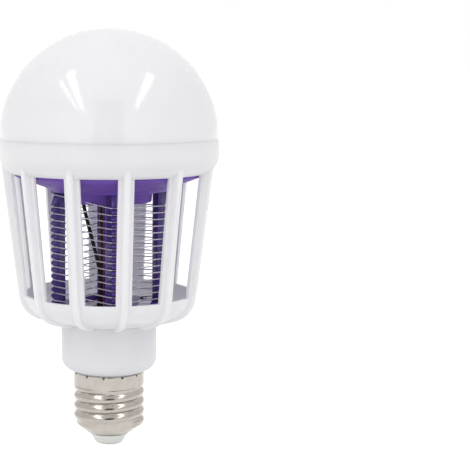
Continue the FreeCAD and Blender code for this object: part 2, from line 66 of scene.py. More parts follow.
# Cage housing. One white moulding: a round skirt rolls in to a tapered wall with twelve windows,
# and a bowl closes it below. Twelve ridges run down outside the bars between the windows. It is
# drawn in millimetres as a closed section that is spun about the bulb's axis.
MM = 0.001
WINDOWS = 12
SECTOR = 2 * math.pi / WINDOWS
AXIS = (0, 0, 1)
skirt_r = 40.0
skirt_top = 113.2
skirt_low = 107.5
skirt_wall = 1.6
roll_r = 7.45
ledge = 104.5
cage_wall = 1.3
window_top = 101.13
window_sill = 56.8
bar_half = 2.75
wall_top_r = 36.42
lean = math.radians(6.0)
bowl_r = 9.0
bowl_slope = math.radians(20.0)
floor_top = 51.1
floor_low = 49.1
floor_hole_r = 6.0
neck_r = 17.65
socket_r = 16.45
ridge_rise = 2.6
ridge_low_rise = 1.7
ridge_half = 1.1
ridge_shoulder = 0.71
ridge_narrow_r = 17
root_round = 0.4
edge_round = 0.2
columns = 9


def new_material(name):
    """A material with its nodes, its shader and the place on the piece, in metres."""
    material = bpy.data.materials.new(name)
    material.use_nodes = True
    tree = material.node_tree
    shader = tree.nodes["Principled BSDF"]
    place = tree.nodes.new("ShaderNodeTexCoord")
    return material, tree, shader, place.outputs["Object"]


def speckle(tree, place, grain):
    """Noise with grains of about the size given, in metres."""
    noise = tree.nodes.new("ShaderNodeTexNoise")
    noise.inputs["Scale"].default_value = 1 / grain
    noise.inputs["Detail"].default_value = 3.0
    tree.links.new(place, noise.inputs["Vector"])
    return noise.outputs["Fac"]


def ranged(tree, value, low, high):
    """Noise spread between two values of the thing that it drives."""
    spread = tree.nodes.new("ShaderNodeMapRange")
    spread.inputs["From Min"].default_value = 0.3
    spread.inputs["From Max"].default_value = 0.7
    spread.inputs["To Min"].default_value = low
    spread.inputs["To Max"].default_value = high
    tree.links.new(value, spread.inputs["Value"])
    return spread.outputs["Result"]


def toned(tree, shader, place, colour, grain, dark):
    """Colour that drifts in patches towards a darker one."""
    mix = tree.nodes.new("ShaderNodeMix")
    mix.data_type = "RGBA"
    mix.inputs["A"].default_value = (*colour, 1)
    mix.inputs["B"].default_value = (*[channel * dark for channel in colour], 1)
    tree.links.new(ranged(tree, speckle(tree, place, grain), 0, 1), mix.inputs["Factor"])
    tree.links.new(mix.outputs["Result"], shader.inputs["Base Color"])


def polished(tree, shader, place, grain, low, high):
    """Roughness that wanders between two values."""
    tree.links.new(ranged(tree, speckle(tree, place, grain), low, high), shader.inputs["Roughness"])


def dented(tree, shader, place, grain, depth, strength):
    """Skin as uneven as a mould, a press or handling leaves it."""
    bump = tree.nodes.new("ShaderNodeBump")
    bump.inputs["Distance"].default_value = depth
    bump.inputs["Strength"].default_value = strength
    tree.links.new(speckle(tree, place, grain), bump.inputs["Height"])
    tree.links.new(bump.outputs["Normal"], shader.inputs["Normal"])


def moulded_plastic(name, colour, roughness, drift=0.96, glow=0.0):
    """Moulded plastic with a faint drift of tone, a sparked skin and a soft shine."""
    material, tree, shader, place = new_material(name)
    toned(tree, shader, place, colour, grain=0.011, dark=drift)
    polished(tree, shader, place, grain=0.004, low=roughness * 0.88, high=roughness * 1.12)
    dented(tree, shader, place, grain=0.0006, depth=0.00001, strength=0.35)
    if glow:
        shader.inputs["Subsurface Weight"].default_value = glow
        shader.inputs["Subsurface Radius"].default_value = (1.0, 0.98, 0.95)
        shader.inputs["Subsurface Scale"].default_value = 0.004
    return material


def drawn_section(steps, arc_step=7.5):
    """Closed section in the XZ plane. A step is a corner, or an arc's centre and its turn in degrees."""
    mesh = bmesh.new()
    first = mesh.verts.new((steps[0][0], 0, steps[0][1]))
    last = first
    for step in steps[1:]:
        if len(step) == 2:
            corner = mesh.verts.new((step[0], 0, step[1]))
            mesh.edges.new((last, corner))
            last = corner
        else:
            swung = bmesh.ops.spin(
                mesh, geom=[last], cent=(step[0], 0, step[1]), axis=(0, 1, 0), angle=math.radians(step[2]),
                steps=max(2, round(abs(step[2]) / arc_step)),
            )
            last = swung["geom_last"][0]
    mesh.edges.new((last, first))
    return mesh


def close_up(mesh, reach=0.0005):
    """Merges what meets and turns the faces outwards."""
    bmesh.ops.remove_doubles(mesh, verts=mesh.verts, dist=reach)
    bmesh.ops.dissolve_degenerate(mesh, edges=mesh.edges, dist=reach)
    bmesh.ops.delete(mesh, geom=[edge for edge in mesh.edges if edge.is_wire], context="EDGES")
    bmesh.ops.recalc_face_normals(mesh, faces=mesh.faces)


def softened(mesh, edges, width):
    """Rounds the edges off, as a mould or a press leaves them."""
    bmesh.ops.bevel(
        mesh, geom=edges, offset=width, offset_type="OFFSET", affect="EDGES", segments=2, profile=0.5,
        material=-1, clamp_overlap=True,
    )


def sharp_edges(mesh, over):
    """Edges where two faces meet at more than an angle, in degrees."""
    return [edge for edge in mesh.edges if edge.is_manifold and edge.calc_face_angle() > math.radians(over)]


def finished(name, mesh, material, slot, *stands_for):
    """Brings a mesh drawn in millimetres to its place in metres, as a piece of the bulb."""
    bmesh.ops.scale(mesh, vec=(MM, MM, MM), verts=mesh.verts)
    for face in mesh.faces:
        face.smooth = True
    data = bpy.data.meshes.new(name)
    mesh.to_mesh(data)
    mesh.free()
    data.materials.append(material)
    data.set_sharp_from_angle(angle=math.radians(40))
    piece = bpy.data.objects.new(name, data)
    scene.collection.objects.link(piece)
    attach(piece, "root")
    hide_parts(*stands_for)
    return piece


def wall_r(height, offset=0.0):
    return wall_top_r - (window_top - height) * math.tan(lean) + offset / math.cos(lean)


bowl_top = window_sill - 0.3
bowl_centre = (wall_r(bowl_top) - bowl_r * math.cos(lean), bowl_top + bowl_r * math.sin(lean))
bowl_foot_turn = math.pi / 2 - bowl_slope
bowl_foot_r = bowl_centre[0] + bowl_r * math.cos(bowl_foot_turn)
roll_turn = math.asin((skirt_low - window_top) / roll_r)
inner_bowl_r = bowl_r - cage_wall
inner_turn = math.asin((bowl_centre[1] - floor_top) / inner_bowl_r)


def under_bowl(radius):
    """Height of the bowl's sloping underside."""
    foot = bowl_centre[1] - bowl_r * math.sin(bowl_foot_turn)
    return foot - (bowl_foot_r - radius) * math.tan(bowl_slope)


neck_top = under_bowl(neck_r)
wall_rows = [window_top - (window_top - window_sill) * row / 4 for row in range(5)]
foot_round = 2.2
foot_rise = 0.7
slope_rows = [22.8, 20.6] + [neck_r + foot_round * reach for reach in (1.0, 0.7, 0.45, 0.25, 0.1)]
cage = drawn_section(
    [(skirt_r, skirt_top), (skirt_r, skirt_low), (skirt_r - roll_r, skirt_low, math.degrees(roll_turn))]
    + [(wall_r(height), height) for height in wall_rows[1:]]
    + [(wall_r(bowl_top), bowl_top), (*bowl_centre, math.degrees(bowl_foot_turn - lean))]
    + [(radius, under_bowl(radius)) for radius in slope_rows]
    + [(neck_r, neck_top), (socket_r, neck_top), (socket_r, floor_low), (floor_hole_r, floor_low)]
    + [(floor_hole_r, floor_top)]
    + [(bowl_centre[0] + inner_bowl_r * math.cos(inner_turn), floor_top)]
    + [(*bowl_centre, -math.degrees(inner_turn - lean))]
    + [(wall_r(height, -cage_wall), height) for height in reversed(wall_rows)]
    + [(wall_r(ledge, -cage_wall), ledge), (skirt_r - skirt_wall, ledge), (skirt_r - skirt_wall, skirt_top)]
)
bmesh.ops.spin(cage, geom=cage.edges[:], cent=(0, 0, 0), axis=AXIS, angle=SECTOR / 2, steps=columns)


def turn_about_axis(vert):
    return math.atan2(vert.co.y, vert.co.x)


def bar_turn(radius, half):
    """Turn at which a point lies half a width from the middle of its bar."""
    return SECTOR / 2 - math.asin(min(half, radius * half / ridge_narrow_r) / radius)


def move_column(mesh, column, half):
    """Turns one column of the half sector to a set distance from the bar's middle."""
    start = SECTOR / 2 * column / columns
    for vert in [vert for vert in mesh.verts if abs(turn_about_axis(vert) - start) < math.radians(0.5)]:
        radius = math.hypot(vert.co.x, vert.co.y)
        turn = bar_turn(radius, half)
        vert.co = (radius * math.cos(turn), radius * math.sin(turn), vert.co.z)


for column, half in ((8, 0.55), (7, 0.95), (6, ridge_half), (5, bar_half)):
    move_column(cage, column, half)


half_window_turn = math.radians(9.5)
skin_depth = cage_wall * 1.2


def in_window(face):
    middle = face.calc_center_median()
    return (
        math.atan2(middle.y, middle.x) < half_window_turn
        and window_sill < middle.z < window_top
        and math.hypot(middle.x, middle.y) > wall_r(middle.z, -skin_depth)
    )


bmesh.ops.delete(cage, geom=[face for face in cage.faces if in_window(face)], context="FACES")


def on_window_rim(edge):
    return all(
        turn_about_axis(vert) < bar_turn(math.hypot(vert.co.x, vert.co.y), bar_half) + 0.001
        and window_sill - 0.01 < vert.co.z < window_top + 0.01
        and math.hypot(vert.co.x, vert.co.y) > wall_r(vert.co.z, -skin_depth)
        for vert in edge.verts
    ) and not all(abs(vert.co.y) < 0.001 for vert in edge.verts)


def all_of(mesh):
    return mesh.verts[:] + mesh.edges[:] + mesh.faces[:]


bmesh.ops.bridge_loops(cage, edges=[edge for edge in cage.edges if edge.is_boundary and on_window_rim(edge)])
bmesh.ops.mirror(cage, geom=all_of(cage), axis="Y", merge_dist=0.001)
bmesh.ops.spin(
    cage, geom=all_of(cage), cent=(0, 0, 0), axis=AXIS, angle=2 * math.pi - SECTOR, steps=WINDOWS - 1,
    use_duplicate=True,
)
close_up(cage)


def ridge_place(point):
    """Where a point lies from the nearest ridge's middle plane: along it, across it and up."""
    radius = math.hypot(point.x, point.y)
    turn = math.atan2(point.y, point.x) % SECTOR - SECTOR / 2
    return radius * math.cos(turn), radius * math.sin(turn), point.z


def under_skin(radius, height):
    """Depth under the cage's outer skin, below the skirt."""
    if height > bowl_top:
        return wall_r(height) - radius
    if radius > bowl_foot_r:
        return bowl_r - math.hypot(radius - bowl_centre[0], height - bowl_centre[1])
    return height - under_bowl(radius)


def rise_at(height):
    """The ridges stand out less and less down the wall."""
    down = min(1, (window_top - height) / (window_top - window_sill))
    return ridge_rise - (ridge_rise - ridge_low_rise) * max(0, down)


def under_ridge(face):
    along, across, height = ridge_place(face.calc_center_median())
    return (
        abs(across) < ridge_half
        and along > neck_r
        and height < skirt_low
        and under_skin(along, height) < cage_wall / 2
        and along < wall_r(height, rise_at(height))
        and abs(face.normal.z) < 0.999
    )


def crest(along, across, height):
    """Where the ridge's rounded crest stands out over a point of the skin."""
    rounding = math.sqrt(1 - 0.97 * min(1, abs(across) / ridge_half) ** 2)
    rise = rise_at(height) * (ridge_shoulder + (1 - ridge_shoulder) * rounding)
    if height > bowl_top - 0.01:
        return max(along, wall_r(height, rise)), height
    if along > bowl_foot_r:
        grow = (bowl_r + rise) / bowl_r
        return (
            bowl_centre[0] + (along - bowl_centre[0]) * grow,
            bowl_centre[1] + (height - bowl_centre[1]) * grow,
        )
    out = max(0, along - neck_r)
    rise *= foot_rise + (1 - foot_rise) * out / (bowl_foot_r - neck_r)
    rise *= math.sqrt(1 - (1 - min(1, out / foot_round)) ** 2)
    return along + rise * math.sin(bowl_slope), height - rise * math.cos(bowl_slope)


ridge_beds = [face for face in cage.faces if under_ridge(face)]
grown = bmesh.ops.extrude_face_region(cage, geom=ridge_beds)
bmesh.ops.delete(cage, geom=ridge_beds, context="FACES")
for vert in [item for item in grown["geom"] if isinstance(item, bmesh.types.BMVert)]:
    along, across, height = ridge_place(vert.co)
    middle = math.atan2(vert.co.y, vert.co.x) - math.atan2(across, along)
    along, height = crest(along, across, height)
    vert.co = (
        along * math.cos(middle) - across * math.sin(middle),
        along * math.sin(middle) + across * math.cos(middle),
        height,
    )
close_up(cage)


def at_ridge_root(vert):
    along, across, height = ridge_place(vert.co)
    beside = abs(abs(across) - ridge_half) < 0.05
    return beside and abs(under_skin(along, height)) < 0.3 and height < skirt_low


root_edges = [edge for edge in sharp_edges(cage, 50) if all(at_ridge_root(vert) for vert in edge.verts)]
softened(cage, [
    edge for edge in root_edges
    if all(vert.co.z < window_top + 0.1 and ridge_place(vert.co)[0] > neck_r + 1.5 for vert in edge.verts)
], root_round)
plain_edges = [
    edge for edge in sharp_edges(cage, 60)
    if edge.calc_length() > 0.5 and not all(at_ridge_root(vert) or vert.co.z > ledge for vert in edge.verts)
]
softened(cage, plain_edges, edge_round)
close_up(cage)
white_plastic = moulded_plastic("white_plastic", (0.88, 0.875, 0.895), roughness=0.36, glow=0.4)
finished("white_cage", cage, white_plastic, "white_plastic", "cage_housing")


# Neck. The plain round housing of the driver, moulded in the same white plastic. Its collar plugs
# into the cage and its spigot carries the screw cap.
neck_bore_r = 9.9
cap_spigot_r = 11.8
cap_spigot_low = 11.5
rim_seat_r = 12.75
rim_seat_low = 23.75
rim_seat_top = 27.2
neck_foot = 28.0
neck_round_top = 32.6
neck_floor = 29.6
collar_r = 16.35
collar_inner_r = 14.85
collar_top = 49.0


def turned(section, steps):
    """Spins a section once round the bulb's axis and closes it."""
    bmesh.ops.spin(
        section, geom=section.edges[:], cent=(0, 0, 0), axis=AXIS, angle=2 * math.pi, steps=steps,
        use_merge=True,
    )
    close_up(section)


neck = drawn_section([
    (neck_bore_r, cap_spigot_low), (cap_spigot_r, cap_spigot_low), (cap_spigot_r, rim_seat_low),
    (rim_seat_r, rim_seat_low), (rim_seat_r, rim_seat_top), (12.1, rim_seat_top), (12.1, neck_foot + 0.6),
    (12.65, neck_foot), (13.05, neck_foot), (13.05, neck_round_top, -90), (neck_r, neck_top),
    (collar_r, neck_top), (collar_r, collar_top), (collar_inner_r, collar_top), (collar_inner_r, neck_top),
    (15.65, neck_top - 2), (15.65, neck_round_top), (12.65, neck_round_top, 90), (neck_bore_r, neck_floor),
])
turned(neck, 120)
softened(neck, [edge for edge in sharp_edges(neck, 60) if edge.calc_length() > 0.3], edge_round)
# Its white is greyer and darker than the cage's, though the plastic is the same: painted shade under the
# bowl.
neck_plastic = moulded_plastic("neck_plastic", (0.79, 0.79, 0.82), roughness=0.42)
finished("neck", neck, neck_plastic, "neck_plastic", "driver_housing")


# Screw cap. Thin sheet with a bright nickel finish, rolled with a right-hand knuckle thread and
# staked into the neck's spigot at twelve places round its rim.
cap_sheet = 0.3
root_r = 12.15
crest_rise = 1.0
knuckle_fullness = 0.62
thread_taper = 0.45
pitch = 3.629
thread_start = 8.3
thread_end = 22.6
thread_start_turn = math.radians(-45)
rim_r = 13.1
rim_low = 22.3
rim_top = 27.3
stakes = 12
notch_depth = 0.5
dimple_depth = 0.1
stake_turn = math.radians(-92.6)


def thread_rise(turn, height):
    """How far the rolled thread stands out at a turn and a height."""
    wound = ((turn - thread_start_turn) / (2 * math.pi)) % 1
    rise = 0.0
    for lap in range(6):
        middle = thread_start + pitch * (wound + lap)
        if middle > thread_end:
            continue
        away = abs(height - middle)
        if away < pitch / 2:
            knuckle = (0.5 + 0.5 * math.cos(2 * math.pi * away / pitch)) ** knuckle_fullness
            from_end = min(middle - thread_start, thread_end - middle) + 0.05
            run_in = min(1.0, from_end / thread_taper)
            rise = max(rise, crest_rise * knuckle * run_in)
    return rise


def stake_dent(turn, height):
    """A punched notch at the rim's edge over a shallow dimple."""
    apart = 2 * math.pi / stakes
    across = ((turn - stake_turn + apart / 2) % apart - apart / 2) * rim_r
    notch = notch_depth * math.exp(-((across / 0.4) ** 2) - ((height - rim_top) / 0.6) ** 2)
    dimple = dimple_depth * math.exp(-((across / 1.1) ** 2) - ((height - rim_top + 1.4) / 1.1) ** 2)
    return notch + dimple


# Faces of the rim inside a stake notch, which get a near-black material as painted shade of the notch's
# hollow.
def in_notch_shade(face):
    middle = face.calc_center_median()
    turn = math.atan2(middle.y, middle.x)
    plain_rim = middle.z > rim_top - 0.7 and math.hypot(middle.x, middle.y) > rim_r - 0.9
    return plain_rim and stake_dent(turn, rim_top) > 0.2


def barrel_rows(low, high, step):
    count = round((high - low) / step)
    return [low + (high - low) * row / count for row in range(count + 1)]


barrel = barrel_rows(7.5, 22.0, 0.24)
rim = barrel_rows(rim_low + 0.3, rim_top - 0.1, 0.3)
cap_section = drawn_section(
    [(7.7, 4.1), (8.0, 4.1), (10.1, 5.75), (11.35, 6.9)] + [(root_r, height) for height in barrel]
    + [(rim_r - 0.15, rim_low + 0.05)] + [(rim_r, height) for height in rim] + [(rim_r - 0.05, rim_top)]
    + [(rim_r - cap_sheet, rim_top)] + [(rim_r - cap_sheet, height) for height in reversed(rim)]
    + [(root_r - cap_sheet, height) for height in reversed(barrel)] + [(7.7, 4.45)]
)
turned(cap_section, 240)
for vert in cap_section.verts:
    turn = math.atan2(vert.co.y, vert.co.x)
    radius = math.hypot(vert.co.x, vert.co.y)
    if vert.co.z < rim_low:
        grown_r = radius + thread_rise(turn, vert.co.z) * (radius > root_r - cap_sheet - 0.01)
    else:
        grown_r = radius - stake_dent(turn, vert.co.z)
    vert.co = (grown_r * math.cos(turn), grown_r * math.sin(turn), vert.co.z)
close_up(cap_section)
# Faces in each stake notch take the second, near-black material: painted shade.
for face in cap_section.faces:
    face.material_index = int(in_notch_shade(face))
nickel, tree, shader, place = new_material("nickel")
shader.inputs["Metallic"].default_value = 1.0
toned(tree, shader, place, (0.46, 0.427, 0.388), grain=0.003, dark=0.86)
polished(tree, shader, place, grain=0.0012, low=0.14, high=0.24)
dented(tree, shader, place, grain=0.0022, depth=0.00002, strength=0.5)
threaded_cap = finished("threaded_cap", cap_section, nickel, "nickel", "screw_cap")
# The near-black second material is painted shade in the stake notches.
threaded_cap.data.materials.append(moulded_plastic("notch_painted_shade", (0.012, 0.011, 0.010), roughness=0.6))


# Insulator. A pale moulded plug that closes the foot of the cap and keeps its sheet apart from the
# centre contact, which is riveted through it.
insulator = drawn_section([
    (2.0, 0.7), (5.3, 0.7), (6.8, 3.3), (7.65, 4.05), (7.65, 4.45), (11.1, 7.0), (2.0, 7.0),
])
turned(insulator, 96)
softened(insulator, [edge for edge in sharp_edges(insulator, 20) if edge.calc_length() > 0.15], 0.15)
insulator_plastic = moulded_plastic("insulator_plastic", (0.93, 0.95, 0.92), roughness=0.3, drift=0.95)
finished("cap_plug", insulator, insulator_plastic, "insulator", "cap_insulator")


# Centre contact. A tinned metal disc, pressed slightly round at its edge, on a rivet that goes up
# through the plug and is spread over above it.
contact = drawn_section([
    (0, 0), (3.9, 0), (4.6, 0.1), (4.9, 0.35), (4.9, 0.7), (2.0, 0.7), (2.0, 7.0), (2.8, 7.0), (2.8, 7.5),
    (0, 7.5),
])
turned(contact, 72)
tinned, tree, shader, place = new_material("tinned_contact")
shader.inputs["Metallic"].default_value = 1.0
toned(tree, shader, place, (0.62, 0.61, 0.59), grain=0.0016, dark=0.75)
polished(tree, shader, place, grain=0.0008, low=0.28, high=0.5)
dented(tree, shader, place, grain=0.0012, depth=0.00006, strength=0.8)
finished("contact_disc", contact, tinned, "contact_metal", "centre_contact")


# Lamp cup. Thin violet plastic that hangs from the skirt's ledge and shades the ultraviolet lamps:
# a cone, a flat underside and a shallow drum that the posts stand round.
cup_rim_r = 38.3
cup_rim_top = 106.0
cup_low = 94.5
drum_low = 90.3
drum_floor = 91.8
cup = drawn_section([
    (cup_rim_r, ledge), (cup_rim_r, cup_rim_top), (33.07, cup_rim_top), (33.07, 101.03), (19.84, 96.0),
    (14.6, 96.0), (14.2, drum_floor), (0, drum_floor), (0, drum_low), (15.6, drum_low), (15.9, cup_low),
    (21.9, cup_low), (23.0, 95.6), (34.57, 100.0), (34.57, ledge),
])
turned(cup, 120)
softened(cup, [edge for edge in sharp_edges(cup, 18) if edge.calc_length() > 0.3], 0.3)
violet_plastic = moulded_plastic("violet_plastic", (0.175, 0.088, 0.43), roughness=0.45, drift=0.9)
violet_plastic.node_tree.nodes["Principled BSDF"].inputs["Specular IOR Level"].default_value = 0.15
finished("violet_cup", cup, violet_plastic, "violet_plastic", "lamp_cup")


# Violet former. Four upright posts of cross section stand on a square plate, turned against the
# windows. The outer fin of each post has a row of round teeth, and the wires lie between them.
former_turn = math.radians(10.7)
posts = 4
plate_top = 53.1
post_top = 94.5
fin_inner = 16.1
fin_tip = 21.4
fin_half = 0.95
wire_spacing = 2.443
quarter_drop = wire_spacing / 2
notch_half = 0.425
notch_root = 20.3
tooth_r = wire_spacing / 2 - notch_half
first_notch = 89.8
anchor_notch = 93.1
notch_rows = 15
blade_r = 17.95
blade_half_depth = 0.45
blade_half_width = 2.9
plate_corner = 22.3
plate_strip = 3.0


def post_teeth(post):
    """Steps down the toothed edge of one post's fin."""
    start = first_notch - (post % 2) * quarter_drop
    notches = [start - wire_spacing * row for row in range(notch_rows)]
    if post == posts - 1:
        notches.insert(0, anchor_notch)
    steps = [(fin_tip, post_top)]
    above = post_top
    for notch in notches:
        top = notch + notch_half
        if above < post_top and above - top < wire_spacing:
            tooth_centre = (fin_tip - tooth_r, (above + top) / 2)
            steps += [(fin_tip - tooth_r, above), (*tooth_centre, 180)]
        else:
            steps += [(fin_tip, top)]
        steps += [(notch_root, top), (notch_root, notch - notch_half)]
        above = notch - notch_half
    if above > plate_top + tooth_r:
        steps += [(fin_tip - tooth_r, above), (fin_tip, above - tooth_r)]
    return steps + [(fin_tip, plate_top)]


def thickened(mesh, low, high, axis):
    """Fills a drawn outline and draws it out between two distances along an axis."""
    face = bmesh.ops.contextual_create(mesh, geom=mesh.edges[:])["faces"]
    start = [0, 0, 0]
    start[axis] = low
    bmesh.ops.translate(mesh, vec=start, verts=mesh.verts)
    drawn = bmesh.ops.extrude_face_region(mesh, geom=face, use_keep_orig=True)
    far = [0, 0, 0]
    far[axis] = high - low
    bmesh.ops.translate(
        mesh, vec=far, verts=[item for item in drawn["geom"] if isinstance(item, bmesh.types.BMVert)]
    )
    bmesh.ops.recalc_face_normals(mesh, faces=mesh.faces)


def joined(meshes):
    """One mesh from several."""
    whole = bmesh.new()
    for mesh in meshes:
        part = bpy.data.meshes.new("part")
        mesh.to_mesh(part)
        mesh.free()
        whole.from_mesh(part)
        bpy.data.meshes.remove(part)
    return whole


def bar(x_range, y_range, z_range, rounding):
    """Square bar with rounded edges."""
    mesh = bmesh.new()
    bmesh.ops.create_cube(mesh, size=1)
    size = [high - low for low, high in (x_range, y_range, z_range)]
    middle = [(high + low) / 2 for low, high in (x_range, y_range, z_range)]
    bmesh.ops.scale(mesh, vec=size, verts=mesh.verts)
    bmesh.ops.translate(mesh, vec=middle, verts=mesh.verts)
    softened(mesh, mesh.edges[:], rounding)
    return mesh


former_parts = []
for post in range(posts):
    fin = drawn_section([(fin_inner, plate_top), (fin_inner, post_top)] + post_teeth(post), arc_step=30)
    thickened(fin, -fin_half, fin_half, 1)
    softened(fin, sharp_edges(fin, 60), edge_round)
    blade = bar(
        (blade_r - blade_half_depth, blade_r + blade_half_depth), (-blade_half_width, blade_half_width),
        (plate_top - 0.2, post_top), edge_round,
    )
    turn = Matrix.Rotation(former_turn + math.radians(90 * post - 90), 3, "Z")
    for mesh in (fin, blade):
        bmesh.ops.rotate(mesh, cent=(0, 0, 0), matrix=turn, verts=mesh.verts)
        former_parts.append(mesh)
plate = bmesh.new()
plate.faces.new([plate.verts.new(corner) for corner in (
    (0, -plate_corner, 0), (plate_corner, 0, 0), (0, plate_corner, 0), (-plate_corner, 0, 0),
)])
window_right = -2.0
window_reach = plate_corner - plate_strip * math.sqrt(2)
window_left = plate_strip / 2 - window_reach
window_cuts = [
    ((window_right, 0, 0), (1, 0, 0)), ((window_left, 0, 0), (1, 0, 0)),
    ((-window_reach, 0, 0), (1, 1, 0)), ((-window_reach, 0, 0), (-1, 1, 0)),
]
corner_cuts = [((fin_tip * x, fin_tip * y, 0), (x, y, 0)) for x, y in ((0, -1), (1, 0), (0, 1), (-1, 0))]
for cuts, trims in ((window_cuts, False), (corner_cuts, True)):
    for point, across in cuts:
        bmesh.ops.bisect_plane(
            plate, geom=all_of(plate), plane_co=point, plane_no=across, clear_outer=trims
        )


def in_lead_window(face):
    middle = face.calc_center_median()
    return window_left < middle.x < window_right and abs(middle.y) - middle.x < window_reach


bmesh.ops.delete(plate, geom=[face for face in plate.faces if in_lead_window(face)], context="FACES")
thick = bmesh.ops.extrude_face_region(plate, geom=plate.faces[:], use_keep_orig=True)
bmesh.ops.translate(
    plate, vec=(0, 0, plate_top - floor_top),
    verts=[item for item in thick["geom"] if isinstance(item, bmesh.types.BMVert)],
)
bmesh.ops.translate(plate, vec=(0, 0, floor_top), verts=plate.verts)
bmesh.ops.recalc_face_normals(plate, faces=plate.faces)
softened(plate, sharp_edges(plate, 40), edge_round)
bmesh.ops.rotate(plate, cent=(0, 0, 0), matrix=Matrix.Rotation(former_turn, 3, "Z"), verts=plate.verts)
former_parts.append(plate)
# The former's violet is a darker copy of the cup's violet plastic: painted shade inside the cage.
former_violet_painted_shade = moulded_plastic("former_violet_painted_shade", (0.105, 0.052, 0.30), roughness=0.14, drift=0.8)
finished("violet_former", joined(former_parts), former_violet_painted_shade, "violet_plastic", "grid_former")


# Grid wires. Two bare steel wires are wound side by side from notch to notch round the posts, in
# straight runs that bend sharply over the teeth, and each ends on its own lead under the plate.
wire_r = 0.24
wire_quarters = 29
wire_tail_r = 14.15
bend_reach = 0.45
wire_out = notch_root + wire_r + 0.05
wire_across = fin_half + wire_r / 2
wire_corner_r = math.hypot(wire_out, wire_across)
wire_corner_turn = math.atan2(wire_across, wire_out)


def on_circle(radius, turn, height):
    """A place counted from the front, towards the right."""
    return Vector((radius * math.sin(turn), -radius * math.cos(turn), height))


def over_fin(turn, height):
    """The two bends of a wire that lies across a fin's notch."""
    return [
        on_circle(wire_corner_r, turn + side, height) for side in (-wire_corner_turn, wire_corner_turn)
    ]


def wound_route(first_post, anchored):
    """Corners of a wire's route, from its first notch down to its tail."""
    corners = over_fin(former_turn - math.radians(90), anchor_notch) if anchored else []
    for quarter in range(wire_quarters + 1):
        height = first_notch - quarter_drop * quarter
        turn = former_turn + math.radians(90 * (first_post + quarter))
        corners += over_fin(turn, height)
    corners.append(on_circle(wire_corner_r, turn + math.radians(10), height))
    corners.append(on_circle(wire_tail_r, turn + math.radians(25), plate_top + 2 * wire_r))
    return corners


def tight_bends(corners):
    """Route with a short bend at each corner and straight runs between."""
    route = [corners[0]]
    for before, corner, after in zip(corners, corners[1:], corners[2:]):
        route += [corner + (before - corner).normalized() * bend_reach, corner]
        route += [corner + (after - corner).normalized() * bend_reach]
    return route + [corners[-1]]


def smooth_tube(name, route, radius, material, node, smooth=3, sides=3):
    """A wire or a lead along its route, in millimetres."""
    line = bpy.data.curves.new(name, "CURVE")
    line.dimensions = "3D"
    line.bevel_depth = radius * MM
    line.bevel_resolution = sides
    line.use_fill_caps = True
    line.resolution_u = smooth
    spline = line.splines.new("NURBS")
    spline.points.add(len(route) - 1)
    for control, point in zip(spline.points, route):
        control.co = (*[value * MM for value in point], 1)
    spline.order_u = 3
    spline.use_endpoint_u = True
    line.materials.append(material)
    piece = bpy.data.objects.new(name, line)
    scene.collection.objects.link(piece)
    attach(piece, "root")
    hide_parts(node)


grid_steel, tree, shader, place = new_material("grid_steel")
shader.inputs["Metallic"].default_value = 1.0
toned(tree, shader, place, (0.62, 0.58, 0.65), grain=0.002, dark=0.8)
polished(tree, shader, place, grain=0.001, low=0.22, high=0.38)
smooth_tube(
    "live_wire", tight_bends(wound_route(0, True)), wire_r, grid_steel, "live_grid_wire"
)
smooth_tube(
    "return_wire", tight_bends(wound_route(2, False)), wire_r, grid_steel, "return_grid_wire"
)


# Lamp leads. A black and a red insulated lead run up inside the grid from the driver board, through
# the hole in the cup, to their pads on the lamp board.
lamp_lead_r = 0.7
lamp_side = 1.35
pad_height = 109.95


def insulation(name, colour):
    """Glossy extruded insulation, a little uneven along its length."""
    material, tree, shader, place = new_material(name)
    toned(tree, shader, place, colour, grain=0.003, dark=0.8)
    polished(tree, shader, place, grain=0.002, low=0.25, high=0.4)
    dented(tree, shader, place, grain=0.0015, depth=0.00003, strength=0.4)
    shader.inputs["Specular IOR Level"].default_value = 0.2
    return material


black_insulation = insulation("black_insulation", (0.012, 0.011, 0.012))
# The red is painted very dark: painted shade of the lead inside the grid.
red_insulation = insulation("red_insulation", (0.05, 0.002, 0.007))
smooth_tube(
    "black_lead",
    [
        (-4.7, lamp_side, 43.0), (-4.7, lamp_side, 48.6), (-3.2, -1.0, 53.6), (-2.5, -1.2, 63.0),
        (-9.6, -0.9, 89.0), (-9.6, -0.9, 95.5), (-3.5, -0.9, 102.5), (-3.5, -0.9, pad_height),
        (-8.0, -0.9, pad_height),
    ],
    lamp_lead_r, black_insulation, "black_lamp_lead", smooth=12, sides=4,
)
smooth_tube(
    "red_lead",
    [
        (-2.0, -lamp_side, 42.0), (-2.0, -lamp_side, 46.5), (-3.0, -1.1, 50.5), (-2.4, -1.0, 63.0),
        (-2.9, 0.9, 84.0), (-2.9, 0.9, 95.5), (-3.5, 0.9, 102.5), (-3.5, 0.9, pad_height),
        (-8.0, 0.9, pad_height),
    ],
    lamp_lead_r, red_insulation, "red_lamp_lead", smooth=12, sides=4,
)


